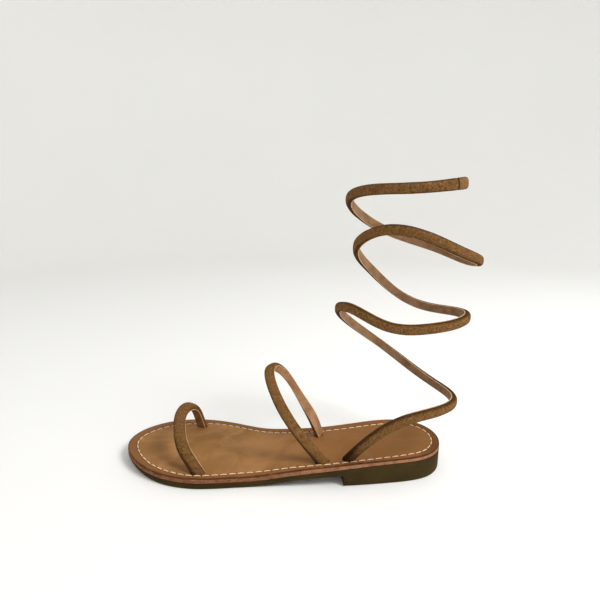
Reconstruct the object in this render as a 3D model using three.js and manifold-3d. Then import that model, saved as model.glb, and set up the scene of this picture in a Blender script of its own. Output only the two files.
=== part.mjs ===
// A gladiator sandal, the left shoe: a flat sole of rubber and leather, two arched straps over the foot,
// and one long wire-cored strap that stands by itself in the spiral in which it winds round the ankle.
// Millimetres. +X points to the toe, +Y to the wearer's left, which is this shoe's outer side, +Z is up.
// The origin is on the floor under the middle of the heel.
import * as THREE from 'three';
import { mergeVertices } from 'three/addons/utils/BufferGeometryUtils.js';
import Module from 'manifold-3d';

const wasm = await Module();
wasm.setup();

// ---------------------------------------------------------------- driving sizes

const HEEL_BACK = -40;            // rearmost point of the sole
const TOE_TIP = 209;              // foremost point of the sole
const HEEL_BREAST = 37.5;         // front face of the heel
const BREAST_FILLET = 3;          // hollow corner between that face and the waist
const HEEL_BEVEL = 0.8;           // bevel along the heel's rear bottom edge

const RUBBER = 4.1;               // thickness of the rubber, away from the heel
const MIDSOLE = 2.9;              // thickness of the leather midsole, away from the heel
const HEEL_SKIVE = 0.8;           // how much thinner it is at the heel, where the rubber is that much thicker
const SKIVE_FRONT = 62;           // the place from which it thins towards the heel
const INSOLE = 0.9;               // thickness of the leather insole
const GAP = 0.3;                  // space left between neighbours

const WRAP_WIDTH = 6.8;           // width of the ankle strap
const STRAP_THICKNESS = 4.5;
const ROOT = 7;                   // length of strap that runs on down into its slot

const ANKLE_X = -9;               // the upright axis that the ankle strap winds round
const WRAP_START = 34;            // bearing of the strap's foot, degrees from +X towards +Y
const WRAP_END = 1197;            // bearing of its free end, a little over three turns on
const FACE_START = 90;            // near its foot the strap faces straight outwards, to +Y

const OUTLINE_STEPS = 6;          // facets between two rows of the outline
const PROFILE_STEP = 6;           // length of a facet along the side profile
const FILLET_STEPS = 4;           // facets round the hollow corner in front of the heel
const ARCH_STEPS = 4;             // facets between two rows of a foot strap
const WRAP_STEPS = 5;             // and of the ankle strap

// Height of the rubber's underside, as if it had no heel: one row every ARCH_SPACING, from ARCH_BACK on.
// The seat is high, the waist falls away, the ball is flat on the floor and the toe springs up a little.
const ARCH_BACK = -50;
const ARCH_SPACING = 25;
const ARCH = [10.4, 10.4, 10.5, 9.4, 7.6, 4.8, -0.3, 0, 0, 0, 1.2, 4];

// Outline of the sole seen from above: each row pulls one closed smooth curve towards itself.
const OUTLINE = [
  // forward, left
  [-44, 0],      // back of the heel
  [-31, 26],
  [0, 32],       // outer side
  [54, 38.5],
  [106, 37],
  [146, 44],     // outer ball
  [180, 34],
  [203, 14],
  [212, -7],     // toe tip
  [202, -29],
  [178, -46],
  [141, -45],    // inner ball
  [105, -30],
  [54, -15],     // waist
  [-1, -31],
  [-32, -26],
];

// The two straps over the foot, from their outer foot to their inner one. They lean towards the toe and
// are cut by hand, so their widths wander. Turn, in degrees, swings a strap's outer face forwards.
const TOE_STRAP = [
  // forward, left, up, turn, width
  [143, 34.5, 8.5, 0, 8.7],
  [150.5, 31.5, 18.5, 0, 8.7],
  [157, 26, 25.5, 0, 8.7],
  [161, 15.5, 32, -10, 8.7],
  [164, 3, 36.5, -36, 8.8],
  [164, -10.5, 37, -50, 9.1],
  [161.5, -23, 34, -50, 9.1],
  [158.5, -30.5, 25.5, -42, 8.8],
  [155.5, -32.5, 8.5, -32, 8.2],
];
const INSTEP_STRAP = [
  // forward, left, up, turn, width
  [52.5, 31, 15.5, -12, 7.9],
  [76.5, 24, 42, -14, 7.9],
  [88.5, 16, 63, -14, 7.8],
  [93.5, 8.5, 76, -8, 7.4],
  [92, 1.5, 79.5, 0, 6.8],
  [84.5, -3, 75.5, 5, 6.2],
  [76, -6, 62, 12, 5.8],
  [68.5, -7.5, 47, 18, 6.2],
  [60, -8.5, 31.5, 44, 8.2],
  [54.5, -8.5, 15.5, 66, 9],
];

// The ankle strap: rows at even bearings from WRAP_START to WRAP_END.
const ANKLE_WRAP = [
  // reach from the ankle's axis, height
  [52, 17], [49.5, 58.5], [44.5, 63], [39.5, 60], [36.5, 56], [36.5, 54.5], [39.5, 60.5], [46, 79.5],
  [52, 102.5], [51.5, 124], [46, 131], [43, 118], [41.5, 120.5], [42, 121.5], [42.5, 121.5], [41, 118],
  [37.5, 116.5], [35, 128], [35.5, 148], [38.5, 163.5],
  [38.5, 176.5], [37, 185], [38.5, 181.5], [43.5, 168.5], [48, 161], [47.5, 156], [46.5, 165], [44.5, 172],
  [43, 183.5], [44, 197],
  [44.5, 206], [44.5, 208.5], [45, 208], [47, 211.5],
];

// Cross-section of every strap, as parts of its width and thickness:
// a flat lined inner face and a crowned outer one.
const STRAP_SECTION = [
  // across, outward
  [-0.50, -0.30], [-0.40, -0.50], [0.40, -0.50], [0.50, -0.30], [0.50, 0.05],
  [0.40, 0.34], [0.18, 0.50], [-0.18, 0.50], [-0.40, 0.34], [-0.50, 0.05],
];

// ---------------------------------------------------------------- smooth curves

// One point of a uniform cubic spline, a share u of the way between the second and third of four rows.
function blend(rows, u) {
  const weights = [(1 - u) ** 3, 3 * u ** 3 - 6 * u ** 2 + 4, -3 * u ** 3 + 3 * u ** 2 + 3 * u + 1, u ** 3];
  return rows[0].map((_, column) => rows.reduce((sum, row, i) => sum + row[column] * weights[i] / 6, 0));
}

function closedCurve(rows, steps) {
  const points = [];
  for (let i = 0; i < rows.length; i += 1) {
    const four = [0, 1, 2, 3].map((k) => rows[(i + k) % rows.length]);
    for (let step = 0; step < steps; step += 1) points.push(blend(four, step / steps));
  }
  return points;
}

// The rows are carried on by one at either end, so that the curve starts and ends on its outer rows.
function openCurve(rows, steps) {
  const beyond = (end, next) => end.map((value, column) => 2 * value - next[column]);
  const all = [beyond(rows[0], rows[1]), ...rows, beyond(rows.at(-1), rows.at(-2))];
  const points = [];
  for (let i = 0; i < rows.length - 1; i += 1) {
    for (let step = 0; step < steps; step += 1) points.push(blend(all.slice(i, i + 4), step / steps));
  }
  points.push([...rows.at(-1)]);
  return points;
}

// ---------------------------------------------------------------- solids

function solidOf(geometry) {
  geometry.deleteAttribute('normal');
  geometry.deleteAttribute('uv');
  const merged = mergeVertices(geometry, 1e-4);
  return new wasm.Manifold(new wasm.Mesh({
    numProp: 3,
    vertProperties: new Float32Array(merged.attributes.position.array),
    triVerts: new Uint32Array(merged.index.array),
  }));
}

function meshOf(name, solid, material) {
  const cut = solid.getMesh();
  const geometry = new THREE.BufferGeometry();
  geometry.setAttribute('position', new THREE.BufferAttribute(new Float32Array(cut.vertProperties), 3));
  geometry.setIndex(new THREE.BufferAttribute(new Uint32Array(cut.triVerts), 1));
  geometry.computeVertexNormals();
  const mesh = new THREE.Mesh(geometry, material);
  mesh.name = name;
  return mesh;
}

function prism(points, depth) {
  const shape = new THREE.Shape(points.map(([x, y]) => new THREE.Vector2(x, y)));
  return new THREE.ExtrudeGeometry(shape, { depth, bevelEnabled: false, steps: 1 });
}

const SLAB_DEPTH = 1;             // the sole is cut out of blocks that start this far below the floor,
const SLAB_HEIGHT = 40;           // are this tall
const SLAB_WIDTH = 140;           // and this wide

// A slab with the sole's outline seen from above and the given outline seen from the side.
function soleSlab(sideProfile) {
  const fromAbove = prism(closedCurve(OUTLINE, OUTLINE_STEPS), SLAB_HEIGHT).translate(0, 0, -SLAB_DEPTH);
  const fromSide = prism(sideProfile, SLAB_WIDTH).rotateX(Math.PI / 2).translate(0, SLAB_WIDTH / 2, 0);
  return solidOf(fromAbove).intersect(solidOf(fromSide));
}

// ---------------------------------------------------------------- sole

function underside(x) {
  const place = (x - ARCH_BACK) / ARCH_SPACING;
  const row = Math.floor(place);
  const four = [-1, 0, 1, 2].map((k) => [ARCH[THREE.MathUtils.clamp(row + k, 0, ARCH.length - 1)]]);
  return Math.max(0, blend(four, place - row)[0]);
}

const skived = (x) => HEEL_SKIVE * (1 - THREE.MathUtils.smoothstep(x, 0, SKIVE_FRONT));
const rubberTop = (x) => underside(x) + RUBBER + skived(x);
const midsoleBottom = (x) => rubberTop(x) + GAP;
const midsoleTop = (x) => midsoleBottom(x) + MIDSOLE - skived(x);
const insoleBottom = (x) => midsoleTop(x) + GAP;
const insoleTop = (x) => insoleBottom(x) + INSOLE;
const belowFloor = () => -2 * SLAB_DEPTH;

// Points along a height function, from one place to another.
function profile(height, from, to) {
  const count = Math.ceil(Math.abs(to - from) / PROFILE_STEP);
  return Array.from({ length: count + 1 }, (_, i) => {
    const x = from + (to - from) * i / count;
    return [x, height(x)];
  });
}

const PAST = 2;                   // the side profiles run this far past heel and toe
const BACK_END = HEEL_BACK - PAST;
const FRONT_END = TOE_TIP + PAST;

function layer(bottom, top) {
  return soleSlab([...profile(bottom, BACK_END, FRONT_END), ...profile(top, FRONT_END, BACK_END)]);
}

function breastFillet() {
  const x = HEEL_BREAST + BREAST_FILLET;
  const z = underside(x) - BREAST_FILLET;
  return Array.from({ length: FILLET_STEPS + 1 }, (_, i) => {
    const angle = Math.PI / 2 * (1 + i / FILLET_STEPS);
    return [x + BREAST_FILLET * Math.cos(angle), z + BREAST_FILLET * Math.sin(angle)];
  });
}

function outsole() {
  return soleSlab([
    ...profile(rubberTop, BACK_END, FRONT_END),
    ...profile(underside, FRONT_END, HEEL_BREAST + BREAST_FILLET).slice(0, -1),
    ...breastFillet(),
    [HEEL_BREAST, 0],
    [HEEL_BACK + HEEL_BEVEL, 0],
    [HEEL_BACK, HEEL_BEVEL],
    [BACK_END, HEEL_BEVEL],
  ]);
}

// ---------------------------------------------------------------- straps

// Carries a route on past its ends, straight ahead, so that the strap's feet reach into their slots.
function rooted(route, bothEnds) {
  const on = (end, before) => end.clone().add(end.clone().sub(before).setLength(ROOT));
  const points = [on(route[0], route[1]), ...route];
  if (bothEnds) points.push(on(route.at(-1), route.at(-2)));
  return points;
}

// Places on the strap: where it is, the way across it, the way out of its outer face, and its width.
function places(route, widths, outwardAt) {
  return route.map((at, i) => {
    const along = route[Math.min(i + 1, route.length - 1)].clone().sub(route[Math.max(i - 1, 0)]).normalize();
    const across = outwardAt(along, i).cross(along).normalize();
    return { at, across, outward: along.clone().cross(across), width: widths[i] };
  });
}

// Sweeps the strap's section through its places. `grow` makes it wider all round.
function sweep(strap, grow = 0) {
  const sides = STRAP_SECTION.length;
  const rings = strap.length;
  const positions = [];
  const addPoint = (point) => positions.push(point.x, point.y, point.z);
  for (const { at, across, outward, width } of strap) {
    for (const [a, o] of STRAP_SECTION) {
      addPoint(at.clone()
        .addScaledVector(across, a * (width + 2 * grow))
        .addScaledVector(outward, o * (STRAP_THICKNESS + 2 * grow)));
    }
  }
  const startCap = rings * sides;
  addPoint(strap[0].at);
  addPoint(strap.at(-1).at);
  const triangles = [];
  for (let side = 0; side < sides; side += 1) {
    const next = (side + 1) % sides;
    triangles.push(startCap, next, side);
    for (let ring = 0; ring < rings - 1; ring += 1) {
      const [here, there] = [ring * sides, (ring + 1) * sides];
      triangles.push(here + side, here + next, there + next, here + side, there + next, there + side);
    }
    const last = (rings - 1) * sides;
    triangles.push(startCap + 1, last + side, last + next);
  }
  const geometry = new THREE.BufferGeometry();
  geometry.setAttribute('position', new THREE.Float32BufferAttribute(positions, 3));
  geometry.setIndex(triangles);
  return solidOf(geometry);
}

// A strap over the foot lies in one leaning plane, square to its own width, apart from its turn.
function footStrap(rows) {
  const curve = openCurve(rows, ARCH_STEPS);
  const point = ([forward, left, up]) => new THREE.Vector3(forward, left, up);
  const [first, top, last] = [rows[0], rows[Math.floor(rows.length / 2)], rows.at(-1)].map(point);
  const across = top.sub(first).cross(last.sub(first)).normalize();
  const withRoots = [rows[0], ...curve, rows.at(-1)];
  const turns = withRoots.map((row) => THREE.MathUtils.degToRad(row[3]));
  const widths = withRoots.map((row) => row[4]);
  const outwardAt = (along, i) => along.clone().cross(across).normalize().applyAxisAngle(along, -turns[i]);
  return places(rooted(curve.map(point), true), widths, outwardAt);
}

function ankleStrap() {
  const turn = (WRAP_END - WRAP_START) / (ANKLE_WRAP.length - 1);
  const rows = ANKLE_WRAP.map(([reach, height], i) => [WRAP_START + turn * i, reach, height]);
  const curve = openCurve(rows, WRAP_STEPS);
  const direction = (bearing) => {
    const angle = THREE.MathUtils.degToRad(bearing);
    return new THREE.Vector3(Math.cos(angle), Math.sin(angle), 0);
  };
  const route = curve.map(([bearing, reach, height]) =>
    direction(bearing).multiplyScalar(reach).add(new THREE.Vector3(ANKLE_X, 0, height)));
  const bearings = [WRAP_START, ...curve.map(([bearing]) => bearing)];
  const outwardAt = (along, i) => direction(Math.max(FACE_START, bearings[i]));
  return places(rooted(route, false), bearings.map(() => WRAP_WIDTH), outwardAt);
}

// ---------------------------------------------------------------- the sandal

const SUEDE = new THREE.MeshStandardMaterial({ color: 0x7d5f3e, roughness: 0.9, metalness: 0 });
const TAN_LEATHER = new THREE.MeshStandardMaterial({ color: 0x966c44, roughness: 0.55, metalness: 0 });
const RAW_LEATHER = new THREE.MeshStandardMaterial({ color: 0xaa735a, roughness: 0.8, metalness: 0 });
const RUBBER_SOLE = new THREE.MeshStandardMaterial({ color: 0x443a26, roughness: 0.7, metalness: 0 });

const straps = {
  toe_strap: footStrap(TOE_STRAP),
  instep_strap: footStrap(INSTEP_STRAP),
  ankle_wrap: ankleStrap(),
};

// The straps stop at the insole's underside, and the insole has a slot round each of their feet.
const belowInsole = layer(belowFloor, insoleBottom);
let insole = layer(insoleBottom, insoleTop);
const sandal = new THREE.Group();
for (const [name, strap] of Object.entries(straps)) {
  insole = insole.subtract(sweep(strap, GAP));
  sandal.add(meshOf(name, sweep(strap).subtract(belowInsole), SUEDE));
}
sandal.add(meshOf('insole', insole, TAN_LEATHER));
sandal.add(meshOf('midsole', layer(midsoleBottom, midsoleTop), RAW_LEATHER));
sandal.add(meshOf('outsole', outsole(), RUBBER_SOLE));

export default sandal;
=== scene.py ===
"""The looks of a gladiator sandal, the left shoe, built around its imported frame.

Sizes are in millimetres and become metres where a mesh is made. +X points to the toe, +Y to this shoe's
outer side and +Z up. The origin is on the floor under the middle of the heel.
"""
import math

import bmesh
import bpy
import numpy as np
from mathutils import Matrix, Vector


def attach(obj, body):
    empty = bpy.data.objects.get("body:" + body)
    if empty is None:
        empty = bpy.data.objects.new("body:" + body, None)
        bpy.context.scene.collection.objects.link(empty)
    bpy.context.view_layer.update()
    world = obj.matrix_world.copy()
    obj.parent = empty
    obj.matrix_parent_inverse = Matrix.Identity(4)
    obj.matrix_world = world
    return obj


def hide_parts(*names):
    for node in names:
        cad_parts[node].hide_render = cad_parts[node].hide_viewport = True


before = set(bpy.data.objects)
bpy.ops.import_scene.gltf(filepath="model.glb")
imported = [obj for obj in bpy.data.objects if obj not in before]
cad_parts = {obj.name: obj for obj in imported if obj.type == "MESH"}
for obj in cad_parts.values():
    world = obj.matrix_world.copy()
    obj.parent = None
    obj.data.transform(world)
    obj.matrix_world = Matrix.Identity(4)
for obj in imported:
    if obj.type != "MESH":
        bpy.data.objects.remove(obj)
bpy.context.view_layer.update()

MM = 0.001

# ---------------------------------------------------------------- driving sizes, as in the part

HEEL_BREAST = 37.5        # the heel's front face
BREAST_FILLET = 3.0       # radius of the hollow corner between that face and the waist
RUBBER = 4.1              # thickness of the rubber, away from the heel
MIDSOLE = 2.9             # thickness of the leather midsole, away from the heel
HEEL_SKIVE = 0.8          # how much thinner it is at the heel, where the rubber is that much thicker
SKIVE_FRONT = 62          # the place from which it thins towards the heel
INSOLE = 0.9              # thickness of the insole
GAP = 0.3                 # between two layers of the sole
WRAP_WIDTH = 6.8          # width of the ankle strap
STRAP_THICKNESS = 4.5
ANKLE_X = -9.0            # the ankle's upright axis, round which the ankle strap turns
WRAP_START, WRAP_END = 34.0, 1197.0     # bearings of the ankle strap's foot and of its free end, in degrees
FACE_START = 90.0         # bearing that the ankle strap's outer face keeps to before it follows the turns

# Height of the rubber's underside without its heel: each row pulls one smooth curve, from ARCH_BACK forwards.
ARCH_BACK, ARCH_SPACING = -50.0, 25.0
ARCH = [10.4, 10.4, 10.5, 9.4, 7.6, 4.8, -0.3, 0, 0, 0, 1.2, 4]
OUTLINE = [  # forward, left: each row pulls one closed smooth curve towards itself
    (-44, 0), (-31, 26), (0, 32), (54, 38.5), (106, 37), (146, 44), (180, 34), (203, 14),
    (212, -7), (202, -29), (178, -46), (141, -45), (105, -30), (54, -15), (-1, -31), (-32, -26),
]
TOE_STRAP = [  # forward, left, up, turn in degrees, width, from the outer foot to the inner one
    (143, 34.5, 8.5, 0, 8.7), (150.5, 31.5, 18.5, 0, 8.7), (157, 26, 25.5, 0, 8.7),
    (161, 15.5, 32, -10, 8.7), (164, 3, 36.5, -36, 8.8), (164, -10.5, 37, -50, 9.1),
    (161.5, -23, 34, -50, 9.1), (158.5, -30.5, 25.5, -42, 8.8), (155.5, -32.5, 8.5, -32, 8.2),
]
INSTEP_STRAP = [  # forward, left, up, turn, width
    (52.5, 31, 15.5, -12, 7.9), (76.5, 24, 42, -14, 7.9), (88.5, 16, 63, -14, 7.8), (93.5, 8.5, 76, -8, 7.4),
    (92, 1.5, 79.5, 0, 6.8), (84.5, -3, 75.5, 5, 6.2), (76, -6, 62, 12, 5.8), (68.5, -7.5, 47, 18, 6.2),
    (60, -8.5, 31.5, 44, 8.2), (54.5, -8.5, 15.5, 66, 9),
]
ANKLE_WRAP = [  # reach from the ankle's axis, height, at even bearings from the foot to the free end
    (52, 17), (49.5, 58.5), (44.5, 63), (39.5, 60), (36.5, 56), (36.5, 54.5), (39.5, 60.5), (46, 79.5),
    (52, 102.5), (51.5, 124), (46, 131), (43, 118), (41.5, 120.5), (42, 121.5), (42.5, 121.5), (41, 118),
    (37.5, 116.5), (35, 128), (35.5, 148), (38.5, 163.5), (38.5, 176.5), (37, 185), (38.5, 181.5),
    (43.5, 168.5), (48, 161), (47.5, 156), (46.5, 165), (44.5, 172), (43, 183.5), (44, 197), (44.5, 206),
    (44.5, 208.5), (45, 208), (47, 211.5),
]

# ---------------------------------------------------------------- sizes of what is added here

OUTLINE_STEPS = 60        # points between two rows of the outline
MARGIN_STEPS = 12         # points between two rows of the stitches' margins
STATIONS = 150            # places along each side of the sole
CORNER_STEPS = 6          # faces along the hollow corner in front of the heel
CAP_COLUMNS = 26          # faces across the sole
FOOT_STEPS = 30           # rings between two rows of a strap over the foot
WRAP_STEPS = 36           # rings between two rows of the ankle strap
SECTION_SIDES = 30        # points round a strap
ROOT = 2.6                # how far a strap's foot goes down into its slot
ROOT_STEPS = 4            # rings of that stretch
SLOT_RINGS = 14           # rings of a strap's foot that the cutter of its slot follows
SLOT_GAP = 0.35           # room round a strap's foot in its slot
LINING_THICKNESS = 0.8
LINING_OVERLAP = 0.25     # how far the suede laps over the lining's edge, through its thickness
LINING_INSET = 0.1        # how much narrower the lining is than the strap
WIDTH_WANDER, WIDTH_WAVE = 0.02, 47             # how much a strap's width wanders, and over what length
THICKNESS_WANDER, THICKNESS_WAVE = 0.05, 31
TIP_SEAM = 6.5            # the seam's distance from the ankle strap's free end
SEAM_PINCH, SEAM_REACH = 0.12, 0.55             # how much the seam draws the strap in, and how far from it
TIP_FLARE, FLARE_LENGTH = 0.07, 22              # how much broader the free end is, and over what length
TIP_ROUNDING, ROUNDING_LENGTH = 0.08, 0.7       # how much the cut end is rounded off, and over what length
TOE_UNDERCUT = 1.2        # how much further in the rubber's bottom edge lies at the toe
UNDERCUT_BACK, UNDERCUT_FRONT = 165, 200    # where that starts, and where it is full
GAP_FILL = 0.12           # how far the midsole's visible edge reaches into the gaps above and below it
STITCH_MARGINS = [  # station, distance of the stitches from the outer edge and from the inner one
    (-41, 6.2, 6.2), (-30, 5.6, 6.8), (0, 4.2, 7.5), (20, 3.8, 7.8), (40, 3.3, 7.3), (60, 3.8, 7.2),
    (80, 4.8, 7.0), (100, 5.4, 6.0), (125, 4.8, 6.0), (145, 3.3, 7.0), (165, 4.8, 8.5), (185, 5.5, 8.6),
    (200, 7.0, 7.9), (210, 7.6, 7.6),
]
GROOVE = 0.25             # depth of the groove that the stitches lie in
STITCH_PITCH = 6.3
STITCH_SHARE = 0.92       # of the pitch that the thread shows
STITCH_SUNK, STITCH_ARCH = 0.36, 0.6    # depth of a stitch's ends under the groove, and rise of its middle
THREAD_STEPS, THREAD_SIDES = 18, 8      # rings along a stitch, and points round each
PLY_RADIUS = 0.23
PLY_SPREAD = 0.17         # distance of each ply from the thread's middle
PLY_TWIST = 2.4           # length of one full twist
HOLE_RADIUS = 0.5         # of the dark dome that shows a hole
HOLE_SIDES = 12
HOLE_TOP, HOLE_FOOT = 0.12, 0.4         # the dome's height over the groove and its depth under it
HOLE_RINGS = [(0.6, 0.1), (1.0, 0.0), (0.6, -0.3)]    # between those: share of the radius, height
SPOTS = [((114.5, 1.5, 9), 0.8), ((96, 14, 9.5), 0.5), ((169, -6, 9), 0.45)]    # dark specks: place, reach


# ---------------------------------------------------------------- smooth curves

def spline_weights(u):
    """How much each of four rows in turn weighs, at a share u of the way between the middle two."""
    return np.stack([(1 - u) ** 3, 3 * u**3 - 6 * u**2 + 4, -3 * u**3 + 3 * u**2 + 3 * u + 1, u**3], 1) / 6


def closed_curve(rows, steps):
    rows = np.array(rows, float)
    weights = spline_weights(np.arange(steps) / steps)
    return np.concatenate([weights @ np.roll(rows, -i, axis=0)[:4] for i in range(len(rows))])


def open_curve(rows, steps):
    rows = np.array(rows, float)
    rows = np.vstack([2 * rows[0] - rows[1], rows, 2 * rows[-1] - rows[-2]])
    weights = spline_weights(np.arange(steps) / steps)
    stretches = [weights @ rows[i:i + 4] for i in range(len(rows) - 3)]
    return np.vstack(stretches + [rows[-2][None]])


def unit(vectors):
    return vectors / np.linalg.norm(vectors, axis=-1, keepdims=True)


def lengths_along(points):
    """Distance of each point of a route from its first one."""
    return np.concatenate([[0.0], np.cumsum(np.linalg.norm(np.diff(points, axis=0), axis=1))])


def ease(share):
    """A share, held between 0 and 1, that starts and ends gently."""
    s = np.clip(share, 0, 1)
    return s * s * (3 - 2 * s)


def gentle_noise(length, wave, seed):
    """A smooth wandering value of about -1 to 1 along a length, the same each run."""
    phases = np.random.default_rng(seed).uniform(0, 2 * math.pi, 4)
    parts = [np.sin(2 * math.pi * length * k / wave + p) / k for k, p in zip((1, 1.7, 2.9, 4.3), phases)]
    return sum(parts) / 1.9


# ---------------------------------------------------------------- meshes

def band(here, there, sides):
    """Faces between two closed rings of points, numbered from here and from there."""
    return [(here + i, there + i, there + (i + 1) % sides, here + (i + 1) % sides) for i in range(sides)]


def fan(tip, ring, sides):
    """Faces between one point, numbered tip, and a closed ring of points, numbered from ring."""
    return [(tip, ring + i, ring + (i + 1) % sides) for i in range(sides)]


def make_object(name, points, faces, materials):
    """A smooth mesh object from points in millimetres, with its faces turned outwards."""
    mesh = bpy.data.meshes.new(name)
    mesh.from_pydata((np.asarray(points) * MM).tolist(), [], faces)
    for material in materials:
        mesh.materials.append(material)
    mesh.polygons.foreach_set("use_smooth", [True] * len(mesh.polygons))
    work = bmesh.new()
    work.from_mesh(mesh)
    bmesh.ops.recalc_face_normals(work, faces=work.faces)
    work.to_mesh(mesh)
    work.free()
    obj = bpy.data.objects.new(name, mesh)
    bpy.context.scene.collection.objects.link(obj)
    return obj


def set_attribute(obj, name, values):
    """Stores one value for each point of the mesh, for the materials."""
    layer = obj.data.attributes.new(name, "FLOAT", "POINT")
    layer.data.foreach_set("value", np.asarray(values, dtype=np.float32))


def mesh_points(obj):
    """The mesh's points, in millimetres."""
    points = np.empty(len(obj.data.vertices) * 3, dtype=np.float32)
    obj.data.vertices.foreach_get("co", points)
    return points.reshape(-1, 3).astype(float) / MM


def settle(obj):
    """Applies the object's modifiers to its mesh."""
    evaluated = obj.evaluated_get(bpy.context.evaluated_depsgraph_get())
    mesh = bpy.data.meshes.new_from_object(evaluated)
    obj.modifiers.clear()
    obj.data = mesh


# ---------------------------------------------------------------- the sole's shape

def underside(x):
    """Height of the rubber's underside, as if it had no heel."""
    place = (np.atleast_1d(x) - ARCH_BACK) / ARCH_SPACING
    row = np.floor(place).astype(int)
    heights = np.array(ARCH)[np.clip(row[:, None] + np.arange(-1, 3), 0, len(ARCH) - 1)]
    return np.maximum(0, (spline_weights(place - row) * heights).sum(1))


def skived(x):
    """How much thinner the midsole is than at the toe, and how much thicker the rubber."""
    return HEEL_SKIVE * (1 - ease(x / SKIVE_FRONT))


def rubber_top(x):
    return underside(x) + RUBBER + skived(x)


def midsole_bottom(x):
    return rubber_top(x) + GAP


def insole_bottom(x):
    return underside(x) + RUBBER + GAP + MIDSOLE + GAP


def insole_top(x):
    return insole_bottom(x) + INSOLE


def rubber_bottom(station, x):
    """The real underside: flat under the heel, a hollow corner in front of it, then the waist."""
    centre_x = HEEL_BREAST + BREAST_FILLET
    centre_z = underside(centre_x)[0] - BREAST_FILLET
    reach = np.clip(centre_x - station, 0, BREAST_FILLET)
    hollow = centre_z + np.sqrt(BREAST_FILLET**2 - reach**2)
    return np.where(station < HEEL_BREAST, 0.0, np.where(station < centre_x, hollow, underside(x)))


def outline_sides():
    """The outline's left and right halves, each from the heel's back to the toe's tip."""
    loop = closed_curve(OUTLINE, OUTLINE_STEPS)
    loop = np.roll(loop, -loop[:, 0].argmin(), axis=0)
    tip = loop[:, 0].argmax()
    right = np.vstack([loop[tip:], loop[:1]])[::-1]
    return loop[:tip + 1], right


LEFT_SIDE, RIGHT_SIDE = outline_sides()
OUTLINE_BACK, OUTLINE_TIP = LEFT_SIDE[0, 0], LEFT_SIDE[-1, 0]


def stitch_margin(x, outer):
    """Distance of the stitches from the edge, on the outer side where outer is true and else on the inner."""
    rows = open_curve(STITCH_MARGINS, MARGIN_STEPS)
    return np.where(outer, np.interp(x, rows[:, 0], rows[:, 1]), np.interp(x, rows[:, 0], rows[:, 2]))


def sole_stations():
    """Places along the sole: close together at both ends, and doubled where the heel's front face stands."""
    turn = np.linspace(0, math.pi, STATIONS + 1)
    even = OUTLINE_BACK + (OUTLINE_TIP - OUTLINE_BACK) * (1 - np.cos(turn)) / 2
    hair = 0.02
    corner = HEEL_BREAST + BREAST_FILLET * (1 - np.cos(np.linspace(0, math.pi / 2, CORNER_STEPS + 1)))
    away = np.abs(even - HEEL_BREAST - BREAST_FILLET / 2) > BREAST_FILLET
    return np.sort(np.concatenate([even[away], [HEEL_BREAST - hair], corner]))


def dense_outline():
    """The whole outline, left side first, and the way out at each of its points."""
    dense = np.vstack([LEFT_SIDE, RIGHT_SIDE[-2:0:-1]])
    along = unit(np.roll(dense, -1, axis=0) - np.roll(dense, 1, axis=0))
    return dense, np.stack([-along[:, 1], along[:, 0]], 1)


def sole_ring():
    """The outline as one ring, left side first: its stations, points, ways out, and which are on the outer
    side. A point's own x may stand off its station once it is moved inwards."""
    x = sole_stations()
    left = np.stack([x, np.interp(x, *LEFT_SIDE.T)], 1)
    right = np.stack([x, np.interp(x, *RIGHT_SIDE.T)], 1)
    ring = np.vstack([left, right[-2:0:-1]])
    stations = np.concatenate([x, x[-2:0:-1]])
    dense, ways_out = dense_outline()
    nearest = ((ring[:, None] - dense[None]) ** 2).sum(2).argmin(1)
    return stations, ring, ways_out[nearest], np.arange(len(ring)) < len(x)


def sole_cap(edge, edge_start, inner_start, height_at):
    """New points and faces that close a ring of the sole, in rows that run across it. The ring's points are
    numbered from edge_start and the new ones from inner_start."""
    around = len(edge)
    far = around // 2
    inner, rows = [], []
    for i in range(1, far):
        left, right = edge[i], edge[around - i]
        row = [edge_start + i]
        for k in range(1, CAP_COLUMNS):
            x, y = left[:2] + (right[:2] - left[:2]) * k / CAP_COLUMNS
            row.append(inner_start + len(inner))
            inner.append((x, y, height_at(i, x)))
        rows.append(row + [edge_start + around - i])
    faces = []
    for here, there in zip(rows, rows[1:]):
        faces += [(here[k], there[k], there[k + 1], here[k + 1]) for k in range(CAP_COLUMNS)]
    for end, row in ((edge_start, rows[0]), (edge_start + far, rows[-1])):
        faces += [(end, row[k], row[k + 1]) for k in range(CAP_COLUMNS)]
    return np.array(inner), faces


def sole_body(name, rings, height, material):
    """A closed body of the sole's outline. A ring is (inset, share of the way up, rise above that)."""
    stations, outline, outward, outer = sole_ring()
    around = len(outline)
    points = []
    for inset, share, rise in rings:
        inset = inset(outline[:, 0], outer) if callable(inset) else inset
        flat = outline - outward * np.reshape(inset * np.ones(around), (-1, 1))
        points.append(np.column_stack([flat, height(stations, flat[:, 0], share) + rise]))
    faces = []
    for j in range(len(rings) - 1):
        faces += band(j * around, (j + 1) * around, around)
    for ring in (0, len(rings) - 1):
        share, rise = rings[ring][1:]
        inner, cap = sole_cap(points[ring], ring * around, sum(map(len, points)),
                              lambda i, x: float(height(stations[i], x, share)[0]) + rise)
        points.append(inner)
        faces += cap
    return make_object(name, np.vstack(points), faces, [material])


def edge_distance(points):
    """How far each point lies inside the sole's outline, seen from above."""
    dense = dense_outline()[0][::2]
    chunks = np.array_split(points[:, :2], 40)      # to spare memory
    return np.concatenate([np.sqrt(((c[:, None] - dense[None]) ** 2).sum(2).min(1)) for c in chunks])


# ---------------------------------------------------------------- the straps' shape

def strap_places(route, widths, outward_at):
    """(point, way across, way out, width) of each place on a strap's route."""
    along = unit(np.gradient(route, axis=0))
    across = unit(np.cross(outward_at(along), along))
    return route, across, np.cross(along, across), widths


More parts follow.
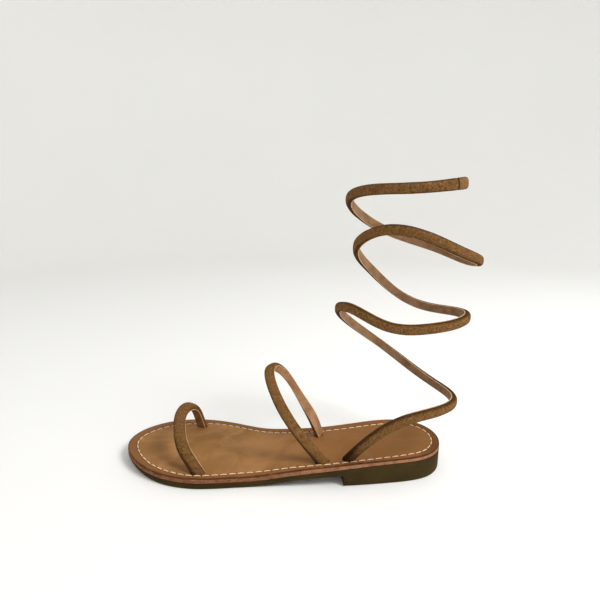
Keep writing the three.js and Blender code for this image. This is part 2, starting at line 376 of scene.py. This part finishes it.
def rooted(route, both_ends):
    """Carries a route on past its feet, straight ahead, in short steps."""
    steps = np.arange(1, ROOT_STEPS + 1)[:, None] / ROOT_STEPS * ROOT
    points = [route[0] + unit(route[0] - route[1]) * steps[::-1], route]
    if both_ends:
        points.append(route[-1] + unit(route[-1] - route[-2]) * steps)
    return np.vstack(points)


def foot_strap(rows):
    """A strap over the foot lies in one leaning plane, square to its own width, apart from its turn."""
    first, top, last = (np.array(rows[i][:3], float) for i in (0, len(rows) // 2, -1))
    flat = unit(np.cross(top - first, last - first))
    curve = open_curve(rows, FOOT_STEPS)
    route = rooted(curve[:, :3], both_ends=True)
    turn = np.radians(np.pad(curve[:, 3], ROOT_STEPS, mode="edge"))[:, None]
    widths = np.pad(curve[:, 4], ROOT_STEPS, mode="edge")
    at, across, out, widths = strap_places(route, widths, lambda along: np.cross(along, flat))
    turned_across = across * np.cos(turn) - out * np.sin(turn)
    return at, turned_across, out * np.cos(turn) + across * np.sin(turn), widths


def ankle_strap():
    """The ankle strap winds round its axis with its outer face turned away from it."""
    bearings = np.linspace(WRAP_START, WRAP_END, len(ANKLE_WRAP))
    curve = open_curve(np.column_stack([bearings, ANKLE_WRAP]), WRAP_STEPS)

    def direction(bearing):
        angle = np.radians(bearing)
        return np.stack([np.cos(angle), np.sin(angle), 0 * angle], 1)

    route = direction(curve[:, 0]) * curve[:, 1:2] + [ANKLE_X, 0, 0] + curve[:, 2:3] * [0, 0, 1]
    whole = rooted(route, both_ends=False)
    faced = np.concatenate([np.full(ROOT_STEPS, WRAP_START), curve[:, 0]])
    widths = np.full(len(whole), WRAP_WIDTH)
    return strap_places(whole, widths, lambda along: direction(np.maximum(FACE_START, faced)))


def strap_section(rise, drop, crown, base):
    """A section of width 1 that rises and drops from the strap's middle. Low powers make it squarer."""
    turn = np.linspace(0, 2 * math.pi, SECTION_SIDES, endpoint=False) + math.pi / 2
    across, out = np.cos(turn), np.sin(turn)
    reach = np.where(out > 0, rise * np.abs(out) ** crown, -drop * np.abs(out) ** base)
    side = np.where(out > 0, 0.8, 0.35)
    return np.stack([np.sign(across) * np.abs(across) ** side / 2, reach], 1)


def sweep(name, places, section, scale, materials, offset=0.0):
    """Sweeps a section through a strap's places, offset outwards. At each place, scale holds the section's
    width and what its thickness is multiplied by. The points know how far along and across they are."""
    at, across, out, _ = places
    sides, rings = len(section), len(at)
    a = section[None, :, 0, None] * scale[:, None, 0, None]
    o = section[None, :, 1, None] * scale[:, None, 1, None] + offset
    points = at[:, None] + across[:, None] * a + out[:, None] * o
    points = points.reshape(-1, 3)
    faces = []
    for ring in range(rings - 1):
        faces += band(ring * sides, (ring + 1) * sides, sides)
    ends = [points[:sides].mean(0), points[-sides:].mean(0)]
    faces += fan(rings * sides, 0, sides) + fan(rings * sides + 1, (rings - 1) * sides, sides)
    obj = make_object(name, np.vstack([points, ends]), faces, materials)
    length = np.repeat(lengths_along(at), sides)
    shares = section[:, 0] / np.abs(section[:, 0]).max()
    set_attribute(obj, "along", np.concatenate([length, [0, length[-1]]]))
    set_attribute(obj, "across", np.concatenate([np.tile(shares, rings), [0, 0]]))
    return obj


# ---------------------------------------------------------------- materials

def colour(red, green, blue):
    """A shader colour from the 0 to 255 values that a screen shows."""
    def linear(value):
        v = value / 255
        return v / 12.92 if v <= 0.04045 else ((v + 0.055) / 1.055) ** 2.4
    return (linear(red), linear(green), linear(blue), 1.0)


class Finish:
    """A material with helpers for its nodes. Sizes and places are in millimetres."""

    def __init__(self, name, roughness, specular=0.5, sheen=0.0):
        self.material = bpy.data.materials.new(name)
        self.material.use_nodes = True
        self.tree = self.material.node_tree
        self.shader = self.tree.nodes["Principled BSDF"]
        self.shader.inputs["Roughness"].default_value = roughness
        self.shader.inputs["Specular IOR Level"].default_value = specular
        self.shader.inputs["Sheen Weight"].default_value = sheen
        self.shader.inputs["Sheen Roughness"].default_value = 0.6
        self.place = self.node("ShaderNodeTexCoord").outputs["Object"]

    def node(self, kind, inputs=None, **settings):
        made = self.tree.nodes.new(kind)
        for key, value in settings.items():
            setattr(made, key, value)
        for key, value in (inputs or {}).items():
            if isinstance(value, bpy.types.NodeSocket):
                self.tree.links.new(value, made.inputs[key])
            else:
                made.inputs[key].default_value = value
        return made

    def noise(self, size, detail=3.0, roughness=0.55, stretch=(1, 1, 1), distortion=0.0):
        """Noise of 0 to 1, with lumps about as large as size."""
        vector = self.place
        if stretch != (1, 1, 1):
            vector = self.node("ShaderNodeMapping", {"Vector": self.place, "Scale": stretch}).outputs[0]
        made = self.node("ShaderNodeTexNoise", {
            "Vector": vector, "Scale": 1 / (size * MM), "Detail": detail, "Roughness": roughness,
            "Distortion": distortion})
        return made.outputs["Fac"]

    def cell_walls(self, size):
        """How far each place is from the walls between cells about as large as size."""
        made = self.node("ShaderNodeTexVoronoi", {"Vector": self.place, "Scale": 1 / (size * MM)},
                         feature="DISTANCE_TO_EDGE")
        return made.outputs["Distance"]

    def attribute(self, name):
        return self.node("ShaderNodeAttribute", attribute_name=name).outputs["Fac"]

    def math(self, operation, a, b=0.0):
        return self.node("ShaderNodeMath", {0: a, 1: b}, operation=operation).outputs[0]

    def span(self, value, low, high, to_low=0.0, to_high=1.0):
        """value's place between low and high, eased at both ends."""
        made = self.node("ShaderNodeMapRange", {
            "Value": value, "From Min": low, "From Max": high, "To Min": to_low, "To Max": to_high},
            interpolation_type="SMOOTHSTEP")
        return made.outputs[0]

    def mix(self, factor, a, b):
        """Colour a where factor is 0 and b where it is 1."""
        made = self.node("ShaderNodeMix", data_type="RGBA")
        for socket, value in zip((made.inputs[0], made.inputs[6], made.inputs[7]), (factor, a, b)):
            if isinstance(value, bpy.types.NodeSocket):
                self.tree.links.new(value, socket)
            else:
                socket.default_value = value
        return made.outputs[2]

    def part_of_place(self, axis):
        """How far forward a place is for axis 0, to the outer side for axis 1, and up for axis 2."""
        split = self.node("ShaderNodeSeparateXYZ", {0: self.place})
        return self.math("MULTIPLY", split.outputs[axis], 1 / MM)

    def distance_to(self, point):
        """Distance from a point of the object."""
        made = self.node("ShaderNodeVectorMath", {0: self.place, 1: [c * MM for c in point]},
                         operation="DISTANCE")
        return self.math("MULTIPLY", made.outputs["Value"], 1 / MM)

    def link(self, socket, value):
        self.tree.links.new(value, self.shader.inputs[socket])

    def bump(self, *layers):
        """Layers of (height, depth), one over another."""
        normal = None
        for height, depth in layers:
            inputs = {"Height": height, "Distance": depth * MM, "Strength": 1.0}
            if normal is not None:
                inputs["Normal"] = normal
            normal = self.node("ShaderNodeBump", inputs).outputs[0]
        self.link("Normal", normal)


def suede_finish(name, nap_tones, specked, low_edge_shade, inner_edge_shade):
    """Brown suede: a mottled nap, specked with dark and pale, with painted shade along its edges, darker low
    down.

    The edge that faces the heel or the floor gets painted shade, as much as the low-edge setting says. The
    other edge's painted shade is darkest on the shoe's outer side, and the inner-edge setting says how much
    it gets on the inner side. Returns the finish and its colour."""
    f = Finish(name, roughness=1.0, specular=0.05)
    nap = f.noise(2.4, detail=5, roughness=0.72, distortion=0.8)
    base = f.mix(f.span(nap, 0.34, 0.66), *nap_tones)
    broad = f.noise(15, detail=2)
    base = f.mix(f.span(broad, 0.36, 0.66, 0.0, 0.5), base, colour(112, 76, 45))
    fibres = f.noise(0.5, detail=4, roughness=0.85)
    base = f.mix(f.span(fibres, 0.46, 0.62, 0.0, 0.6), base, colour(158, 118, 74))
    base = f.mix(f.span(fibres, 0.45, 0.3, 0.0, 0.5), base, colour(66, 42, 20))
    specks = f.noise(1.3, detail=3, roughness=0.8)
    base = f.mix(f.span(specks, 0.56, 0.64, 0.0, specked), base, colour(56, 34, 16))
    base = f.mix(f.span(specks, 0.42, 0.34, 0.0, specked), base, colour(176, 132, 92))

    across, to_outer_side, up = f.attribute("across"), f.part_of_place(1), f.part_of_place(2)
    wander = f.math("MULTIPLY", f.math("SUBTRACT", f.noise(1.8, detail=3), 0.5), 0.5)
    # Painted shade along both edges: one darkest on the shoe's outer side and broader low down, the other
    # facing the heel or the floor.
    dark = colour(54, 34, 14)
    broader_low = f.math("MULTIPLY", f.span(up, 36, 12, 0.0, 0.55), f.span(to_outer_side, -4, 8))
    toeward_shade = f.math("ADD", f.math("ADD", across, broader_low), wander)
    strength = f.span(to_outer_side, -8, 8, inner_edge_shade, 0.8)
    base = f.mix(f.math("MULTIPLY", f.span(toeward_shade, 0.6, 1.05), strength), base, dark)
    base = f.mix(f.span(f.math("SUBTRACT", wander, across), 0.72, 1.02, 0.0, low_edge_shade), base, dark)
    # Darker low down, towards the sole.
    base = f.mix(f.span(up, 42, 12, 0.0, 0.25), base, colour(76, 48, 20))
    f.link("Base Color", base)
    f.bump((f.noise(2.4, detail=3), 0.35), (fibres, 0.28), (f.noise(0.2, detail=2), 0.1))
    return f, base


def foot_suede_finish(name, specked, inner_edge_shade):
    """The suede of a strap over the foot."""
    nap_tones = (colour(82, 55, 25), colour(128, 91, 51))
    return suede_finish(name, nap_tones, specked, low_edge_shade=0.2, inner_edge_shade=inner_edge_shade)[0].material


def wrap_suede_finish(foot_at, length):
    """The ankle strap's suede: nearly black round its foot, and paler past the seam at its free end."""
    nap_tones = (colour(80, 54, 26), colour(122, 87, 49))
    f, base = suede_finish("wrap_suede", nap_tones, specked=0.6, low_edge_shade=0.8, inner_edge_shade=0.8)
    near = f.math("ADD", f.distance_to(foot_at), f.math("MULTIPLY", f.noise(3.5, detail=4), 16))
    base = f.mix(f.span(near, 38, 14, 0.0, 0.85), base, colour(44, 27, 9))
    past_seam = f.math("SUBTRACT", f.attribute("along"), length - TIP_SEAM)
    base = f.mix(f.span(past_seam, 0.2, 0.8, 0.0, 0.35), base, colour(160, 124, 86))
    base = f.mix(f.span(f.math("ABSOLUTE", past_seam), 0.8, 0.25, 0.0, 0.8), base, colour(52, 34, 16))
    f.link("Base Color", base)
    return f.material


def lining_finish(name, dark, light, cream_from):
    """Smooth lining. Its cut edge is dark near the strap's outer foot, and cream from cream_from along it."""
    f = Finish(name, roughness=0.75, specular=0.15)
    tone = f.mix(f.span(f.noise(7, detail=3), 0.3, 0.7), dark, light)
    tone = f.mix(f.span(f.noise(0.8, detail=3), 0.35, 0.7, 0.0, 0.35), tone, colour(118, 79, 50))
    side = f.span(f.math("ABSOLUTE", f.attribute("across")), 0.9, 0.955)
    cream = f.mix(f.span(f.noise(1.5, detail=3), 0.4, 0.7), colour(212, 176, 132), colour(176, 132, 90))
    along = f.attribute("along")
    edge = f.mix(f.span(along, cream_from, cream_from + 12), colour(86, 56, 30), cream)
    f.link("Base Color", f.mix(side, tone, edge))
    f.bump((f.noise(1.6, detail=3), 0.08), (f.noise(0.35, detail=2), 0.04))
    return f.material


def insole_finish():
    """Vegetable-tanned leather: soft stains and painted shade towards the heel inside the stitches; outside
    them a margin darkened by burnishing, darker still along the rim.
    """
    f = Finish("insole_leather", roughness=0.6, specular=0.15)
    forward = f.part_of_place(0)
    base = f.mix(f.span(f.noise(30, detail=3, distortion=0.8), 0.34, 0.66),
                 colour(146, 103, 55), colour(176, 127, 77))
    # Darker towards the heel: painted shade.
    base = f.mix(f.span(forward, 150, 10, 0.0, 0.85), base, colour(130, 85, 38))
    cloudy = f.noise(10, detail=4, roughness=0.6, distortion=1.2)
    base = f.mix(f.span(cloudy, 0.5, 0.72, 0.0, 0.22), base, colour(126, 84, 42))
    grain = f.noise(0.9, detail=4, roughness=0.7)
    base = f.mix(f.span(grain, 0.42, 0.7, 0.0, 0.22), base, colour(114, 78, 44))
    scuff = f.noise(2.2, detail=4, roughness=0.7, stretch=(0.25, 1.6, 1))
    base = f.mix(f.span(scuff, 0.6, 0.74, 0.0, 0.25), base, colour(172, 130, 86))
    for spot, size in SPOTS:
        base = f.mix(f.span(f.distance_to(spot), size, size * 0.4, 0.0, 0.75), base, colour(60, 36, 16))
    wander = f.math("MULTIPLY", f.math("SUBTRACT", f.noise(6, detail=3), 0.5), 1.6)
    seam = f.math("ADD", f.attribute("seam"), wander)
    heelward = f.span(forward, 190, 0)
    margin = f.mix(heelward, colour(126, 82, 43), colour(136, 82, 35))
    margin = f.mix(f.span(forward, -12, -32, 0.0, 0.85), margin, colour(84, 52, 20))
    base = f.mix(f.span(seam, 0.8, -1.2, 0.0, 0.85), base, margin)
    # Darker beside the stitches' groove: partly the pressed leather's own colour, partly painted shade of the
    # groove and the stitches.
    from_groove = f.math("ABSOLUTE", f.attribute("seam"))
    base = f.mix(f.span(from_groove, 1.1, 0.5, 0.0, 0.5), base, colour(92, 58, 26))
    # Darker along the rim, within about 1.7 mm of the outline, most towards the heel.
    rim = f.math("ADD", f.attribute("rim"), wander)
    rim_darkening = f.mix(heelward, colour(86, 48, 20), colour(62, 33, 11))
    base = f.mix(f.span(rim, 1.7, 0.5, 0.0, 0.92), base, rim_darkening)
    f.link("Base Color", base)
    f.link("Roughness", f.span(f.noise(16, detail=3), 0.3, 0.7, 0.48, 0.66))
    creases = f.span(f.cell_walls(0.85), 0.0, 0.12)
    f.bump((f.noise(24, detail=2), 0.6), (creases, 0.035), (grain, 0.06), (scuff, 0.05))
    return f.material


def midsole_finish():
    """The raw cut edge of thick leather, pinkish and fibrous, redder under the forefoot."""
    f = Finish("raw_edge", roughness=0.95, specular=0.1)
    forward = f.part_of_place(0)
    base = f.mix(f.span(forward, 40, 120), colour(158, 110, 80), colour(118, 77, 48))
    fibres = f.noise(1.1, detail=5, roughness=0.75, stretch=(0.5, 0.5, 3.5))
    base = f.mix(f.span(fibres, 0.45, 0.66, 0.0, 0.7), base, colour(190, 138, 106))
    base = f.mix(f.span(f.noise(5, detail=4), 0.45, 0.68, 0.0, 0.6), base, colour(100, 58, 34))
    f.link("Base Color", base)
    f.bump((fibres, 0.22), (f.noise(0.3, detail=2), 0.06))
    return f.material


def rubber_finish():
    """Matt olive-brown rubber, finely pitted, dusty in places."""
    f = Finish("sole_rubber", roughness=0.8, specular=0.1)
    base = f.mix(f.span(f.noise(30, detail=3), 0.35, 0.65), colour(53, 41, 17), colour(62, 48, 21))
    dust = f.noise(5, detail=5, roughness=0.7, stretch=(0.5, 0.5, 1.4))
    base = f.mix(f.span(dust, 0.56, 0.74, 0.0, 0.4), base, colour(86, 68, 38))
    base = f.mix(f.span(f.part_of_place(2), 1.8, 0.2, 0.0, 0.35), base, colour(76, 60, 32))
    f.link("Base Color", base)
    f.bump((f.noise(0.7, detail=3), 0.07), (f.noise(12, detail=2), 0.15))
    return f.material


def thread_finish():
    """Cream thread, a little soiled."""
    f = Finish("thread", roughness=0.75, specular=0.25, sheen=0.1)
    base = f.mix(f.span(f.noise(3, detail=2), 0.3, 0.7), colour(240, 204, 162), colour(254, 232, 200))
    base = f.mix(f.span(f.noise(0.25, detail=2), 0.45, 0.7, 0.0, 0.35), base, colour(206, 166, 124))
    f.link("Base Color", base)
    f.bump((f.noise(0.16, detail=2), 0.05))
    return f.material


def hole_finish():
    """Painted shade of a hole made with an awl: dark brown."""
    f = Finish("awl_hole_shade", roughness=0.9, specular=0.1)
    f.link("Base Color", f.mix(f.noise(0.6, detail=2), colour(66, 40, 20), colour(92, 58, 30)))
    return f.material


def floor_finish():
    """A plain, nearly white floor."""
    f = Finish("floor", roughness=0.9, specular=0.1)
    f.link("Base Color", f.mix(f.noise(400, detail=2), colour(247, 247, 245), colour(250, 250, 248)))
    return f.material


# ---------------------------------------------------------------- the pieces

def outsole(rubber):
    """The rubber unit, whose edges are rounded and whose wall leans in at the toe."""
    def height(station, x, share):
        bottom = rubber_bottom(station, x)
        return bottom + (rubber_top(x) - bottom) * share

    def undercut(inset, share):
        to_toe = UNDERCUT_FRONT - UNDERCUT_BACK
        return lambda x, outer: inset + TOE_UNDERCUT * (1 - share) * ease((x - UNDERCUT_BACK) / to_toe)

    base = [(10.0, 0, 0.0), (3.0, 0, 0.0), (undercut(0.8, 0), 0, 0.0), (undercut(0.5, 0), 0, 0.06),
            (undercut(0.28, 0.05), 0, 0.25), (undercut(0.18, 0.1), 0, 0.6)]
    wall = [(undercut(0.15, share), share, 0.0) for share in (0.3, 0.55, 0.8)]
    rim = [(0.05, 1, -0.3), (0.25, 1, -0.06), (0.8, 1, 0.0), (8.0, 1, 0.0)]
    return sole_body("outsole_rubber", base + wall + rim, height, rubber)


def midsole(raw):
    """The leather midsole, whose raw edge is gently rounded."""
    def height(station, x, share):
        return midsole_bottom(x) - GAP_FILL + (MIDSOLE - skived(x) + 2 * GAP_FILL) * share

    rings = [(8.0, 0, 0.0), (0.9, 0, 0.0), (0.4, 0, 0.05), (0.18, 0.12, 0.0), (0.08, 0.35, 0.0),
             (0.06, 0.65, 0.0), (0.16, 0.88, 0.0), (0.4, 1, -0.05), (0.9, 1, 0.0), (8.0, 1, 0.0)]
    return sole_body("midsole_edge", rings, height, raw)


def insole(leather):
    """The leather insole, with a rounded rim and a shallow groove in which the stitches lie."""
    def height(station, x, share):
        return insole_bottom(x) + INSOLE * share

    def beside_stitches(away):
        return lambda x, outer: stitch_margin(x, outer) + away

    rings = [(9.0, 0, 0.0), (0.9, 0, 0.0), (0.45, 0, 0.05), (0.28, 0.3, 0.0), (0.3, 0.6, 0.0),
             (0.5, 0.84, 0.0), (0.85, 0.96, 0.0), (1.4, 1, 0.0)]
    groove = [(beside_stitches(away), 1, -GROOVE * depth) for away, depth in (
        (-1.2, 0), (-0.75, 0.15), (-0.4, 0.75), (0, 1), (0.4, 0.75), (0.75, 0.15), (1.2, 0), (2.5, 0))]
    return sole_body("insole_leather", rings + groove, height, leather)


def cut_slots(body, straps):
    """Cuts the slots that the straps' feet stand in."""
    reach = STRAP_THICKNESS / 2 + SLOT_GAP
    cutters = []
    section = strap_section(reach, reach, 0.8, 0.5)
    first, last = slice(0, SLOT_RINGS), slice(-SLOT_RINGS, None)
    for name, places in straps.items():
        for end in [first] if name == "ankle_wrap" else [first, last]:
            piece = tuple(part[end] for part in places)
            scale = np.column_stack([piece[3] + 2 * SLOT_GAP, np.ones(SLOT_RINGS)])
            cutters.append(sweep("slot_cutter", piece, section, scale, []))
    for cutter in cutters:
        cut = body.modifiers.new("slot", "BOOLEAN")
        cut.operation = "DIFFERENCE"
        cut.solver = "EXACT"
        cut.object = cutter
    settle(body)
    for cutter in cutters:
        bpy.data.objects.remove(cutter)


def shape_tip(scale, left):
    """The ankle strap's free end: a little broader, drawn in at its seam, with its cut edge rounded. left is
    the distance to the end."""
    scale[:, 0] += TIP_FLARE * ease(1 - left / FLARE_LENGTH)
    seam = np.exp(-((left - TIP_SEAM) / SEAM_REACH) ** 2)
    scale -= SEAM_PINCH * seam[:, None]
    scale *= 1 - TIP_ROUNDING * ease(1 - left / ROUNDING_LENGTH)[:, None]


def strap_body(name, places, suede, seed):
    """The suede part of a strap, hand-cut, so that its width and thickness wander a little."""
    length = lengths_along(places[0])
    scale = np.ones((len(length), 2))
    scale[:, 0] += WIDTH_WANDER * gentle_noise(length, WIDTH_WAVE, seed)
    scale[:, 1] += THICKNESS_WANDER * gentle_noise(length, THICKNESS_WAVE, seed + 1)
    if name == "ankle_wrap":
        shape_tip(scale, length[-1] - length)
    scale[:, 0] *= places[3]
    half = STRAP_THICKNESS / 2
    section = strap_section(half, half - LINING_THICKNESS + LINING_OVERLAP, 0.95, 0.4)
    return sweep(name + "_suede", places, section, scale, [suede])


def strap_lining(name, places, lining):
    """The lining on a strap's inner face, nearly as wide as the strap, with a square cut edge."""
    half = LINING_THICKNESS / 2
    section = strap_section(half, half, 0.3, 0.3)
    scale = np.column_stack([places[3] - LINING_INSET, np.ones(len(places[3]))])
    return sweep(name + "_lining", places, section, scale, [lining], offset=half - STRAP_THICKNESS / 2)


class StitchLine:
    """The closed line of the stitches, along the bottom of their groove."""

    def __init__(self):
        dense, outward = dense_outline()
        outer = np.arange(len(dense)) < len(LEFT_SIDE)
        flat = dense - outward * stitch_margin(dense[:, 0], outer)[:, None]
        line = np.column_stack([flat, insole_top(flat[:, 0]) - GROOVE])
        self.points = np.vstack([line, line[:1]])
        self.lengths = lengths_along(self.points)
        self.count = round(self.lengths[-1] / STITCH_PITCH)
        self.pitch = self.lengths[-1] / self.count
        self.starts = np.arange(self.count) * self.pitch

    def at(self, distance):
        """The points at some distances along the line."""
        along = distance % self.lengths[-1]
        return np.stack([np.interp(along, self.lengths, self.points[:, k]) for k in range(3)], 1)


def stitches(line, thread):
    """The stitches: two twisted plies each, that dip into the leather at both ends."""
    points, faces = [], []
    wander = np.random.default_rng(7).uniform(-1, 1, (line.count, 3))
    ring = np.linspace(0, 2 * math.pi, THREAD_SIDES, endpoint=False)[:, None]
    share = np.linspace(0, 1, THREAD_STEPS)
    arch = np.sin(math.pi * share) ** 0.45
    spread = PLY_SPREAD * (0.35 + 0.65 * arch)
    radius = PLY_RADIUS * (0.6 + 0.4 * arch)
    for start, (longer, aside, turned) in zip(line.starts, wander):
        shown = line.pitch * (STITCH_SHARE + 0.02 * longer)
        middle = line.at(start + shown * share)
        along = unit(np.gradient(middle, axis=0))
        side = unit(np.cross(along, [0, 0, 1]))
        up = np.cross(side, along)
        middle = middle + up * (arch * STITCH_ARCH - STITCH_SUNK)[:, None] + side * 0.1 * aside
        for ply in (0, math.pi):
            twist = 2 * math.pi * shown * share / PLY_TWIST + ply + turned
            core = middle + side * (np.cos(twist) * spread)[:, None]
            core = core + up * (np.sin(twist) * spread * 0.7)[:, None]
            outward = side[:, None] * np.cos(ring) + up[:, None] * np.sin(ring)
            base = len(points) * THREAD_STEPS * THREAD_SIDES
            last = base + (THREAD_STEPS - 1) * THREAD_SIDES
            points.append((core[:, None] + radius[:, None, None] * outward).reshape(-1, 3))
            for here in range(base, last, THREAD_SIDES):
                faces += band(here, here + THREAD_SIDES, THREAD_SIDES)
            faces += [tuple(range(base, base + THREAD_SIDES)), tuple(range(last, last + THREAD_SIDES))]
    return make_object("stitches", np.vstack(points), faces, [thread])


def stitch_holes(line, hole):
    """A low dome in the groove between each two stitches, where the awl went in, dark with the hole's painted
    shade.
    """
    gaps = line.at(line.starts - line.pitch * (1 - STITCH_SHARE) / 2)
    ahead = unit(line.at(line.starts + 0.5) - gaps)
    points, faces = [], []
    for centre, along in zip(gaps, ahead):
        side = np.cross(along, [0, 0, 1])
        top = len(points)
        rings = [top + 1 + HOLE_SIDES * k for k in range(len(HOLE_RINGS))]
        points.append(centre + [0, 0, HOLE_TOP])
        for share, rise in HOLE_RINGS:
            for turn in np.linspace(0, 2 * math.pi, HOLE_SIDES, endpoint=False):
                out = along * math.cos(turn) + side * math.sin(turn)
                points.append(centre + out * HOLE_RADIUS * share + [0, 0, rise])
        points.append(centre - [0, 0, HOLE_FOOT])
        faces += fan(top, rings[0], HOLE_SIDES)
        for here, there in zip(rings, rings[1:]):
            faces += band(here, there, HOLE_SIDES)
        faces += fan(rings[-1] + HOLE_SIDES, rings[-1], HOLE_SIDES)
    return make_object("stitch_holes", points, faces, [hole])


def add_upper(straps):
    """Each strap's suede and lining, as (piece, slot)."""
    wrap_route = straps["ankle_wrap"][0]
    suedes = {
        "toe_strap": foot_suede_finish("toe_suede", specked=0.5, inner_edge_shade=0.4),
        "instep_strap": foot_suede_finish("instep_suede", specked=0.2, inner_edge_shade=0.3),
        "ankle_wrap": wrap_suede_finish(wrap_route[0], lengths_along(wrap_route)[-1]),
    }
    # The toe strap's and the ankle strap's linings are darker copies of the instep strap's lining: painted
    # shade.
    linings = {
        "toe_strap": lining_finish("toe_lining_shaded", colour(116, 76, 48), colour(150, 106, 72), -30),
        "instep_strap": lining_finish("instep_lining", colour(154, 110, 76), colour(188, 144, 106), 26),
        "ankle_wrap": lining_finish("wrap_lining_shaded", colour(116, 88, 62), colour(146, 114, 84), 60),
    }
    pieces = []
    for seed, (name, places) in enumerate(straps.items()):
        body = strap_body(name, places, suedes[name], 11 * seed)
        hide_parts(name)
        pieces += [(body, "suede"), (strap_lining(name, places, linings[name]), "suede")]
    return pieces


def add_sole(straps):
    """The rubber, the midsole, and the insole with its slots and stitches, as (piece, slot)."""
    rubber_unit = outsole(rubber_finish())
    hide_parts("outsole")
    raw_edge = midsole(midsole_finish())
    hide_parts("midsole")

    footbed = insole(insole_finish())
    cut_slots(footbed, straps)
    points = mesh_points(footbed)
    rim = edge_distance(points)
    middle = (np.interp(points[:, 0], *LEFT_SIDE.T) + np.interp(points[:, 0], *RIGHT_SIDE.T)) / 2
    set_attribute(footbed, "rim", rim)
    set_attribute(footbed, "seam", rim - stitch_margin(points[:, 0], points[:, 1] > middle))
    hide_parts("insole")

    line = StitchLine()
    threads = stitches(line, thread_finish())
    awl_holes = stitch_holes(line, hole_finish())
    return [(rubber_unit, "rubber_sole"), (raw_edge, "raw_leather"), (footbed, "tan_leather"),
            (threads, "tan_leather"), (awl_holes, "tan_leather")]


def build_sandal():
    straps = {
        "toe_strap": foot_strap(TOE_STRAP),
        "instep_strap": foot_strap(INSTEP_STRAP),
        "ankle_wrap": ankle_strap(),
    }
    for piece, slot in add_upper(straps) + add_sole(straps):
        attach(piece, "root")


# ---------------------------------------------------------------- the studio

CAMERA_AT = (64.9, 309.1, 201.0)
CAMERA_HEADING = 0.87       # degrees off -Y, towards +X
CAMERA_DOWN = 12.98         # degrees below level
CAMERA_LENS = 25.8          # focal length
CAMERA_NEAR = 10            # nearest distance that the camera shows

KEY_AT, KEY_AIM = (-800, 450, 1100), (70, 0, 50)      # the light, and the place that it faces
KEY_SIZE = 600
KEY_POWER = 14.5            # watts
SKY_TINT, SKY_STRENGTH = (1.0, 0.99, 0.97, 1.0), 0.64

BOWL_FLAT, BOWL_CURVE, BOWL_TOP = 1200, 800, 1600     # flat radius, fillet radius and height of the backdrop
BOWL_SIDES, BOWL_STEPS = 96, 12
FLOOR_DROP = 0.2            # how far the floor lies under the soles


def add_camera():
    """The camera, level from side to side."""
    data = bpy.data.cameras.new("camera")
    data.lens = CAMERA_LENS
    data.clip_start = CAMERA_NEAR * MM
    camera = bpy.data.objects.new("camera", data)
    bpy.context.scene.collection.objects.link(camera)
    heading, down = math.radians(CAMERA_HEADING), math.radians(CAMERA_DOWN)
    level = math.cos(down)
    ahead = Vector((math.sin(heading) * level, -math.cos(heading) * level, -math.sin(down)))
    right = ahead.cross(Vector((0, 0, 1))).normalized()
    axes = Matrix((right, right.cross(ahead), -ahead)).transposed().to_4x4()
    camera.matrix_world = Matrix.Translation(Vector(CAMERA_AT) * MM) @ axes
    bpy.context.scene.camera = camera


def add_key_light():
    """One large soft light, high up behind the heel, on the shoe's outer side."""
    data = bpy.data.lights.new("key", "AREA")
    data.shape = "DISK"
    data.size = KEY_SIZE * MM
    data.energy = KEY_POWER
    lamp = bpy.data.objects.new("key", data)
    lamp.location = Vector(KEY_AT) * MM
    lamp.rotation_euler = (Vector(KEY_AIM) - Vector(KEY_AT)).to_track_quat("-Z", "Y").to_euler()
    bpy.context.scene.collection.objects.link(lamp)


def add_backdrop():
    """A floor that curves up into a wall all round, like a shallow bowl."""
    bend = np.linspace(0, math.pi / 2, BOWL_STEPS + 1)
    profile = [(0.0, 0.0)]
    profile += [(BOWL_FLAT + BOWL_CURVE * math.sin(t), BOWL_CURVE * (1 - math.cos(t))) for t in bend]
    profile.append((BOWL_FLAT + BOWL_CURVE, BOWL_TOP))
    turn = np.linspace(0, 2 * math.pi, BOWL_SIDES, endpoint=False)
    points = [(0.0, 0.0, 0.0)]
    for reach, height in profile[1:]:
        points += [(reach * math.cos(t), reach * math.sin(t), height) for t in turn]
    faces = fan(0, 1, BOWL_SIDES)
    for ring in range(len(profile) - 2):
        faces += band(1 + ring * BOWL_SIDES, 1 + (ring + 1) * BOWL_SIDES, BOWL_SIDES)
    floor = make_object("floor", points, faces, [floor_finish()])
    floor.location.z = -FLOOR_DROP * MM


def add_studio():
    """The backdrop, the light and an even, faintly warm glow from all round."""
    add_backdrop()
    add_key_light()
    world = bpy.data.worlds.new("studio")
    world.use_nodes = True
    glow = world.node_tree.nodes["Background"]
    glow.inputs["Color"].default_value = SKY_TINT
    glow.inputs["Strength"].default_value = SKY_STRENGTH
    bpy.context.scene.world = world
    bpy.context.scene.view_settings.view_transform = "Standard"


add_camera()
build_sandal()
add_studio()
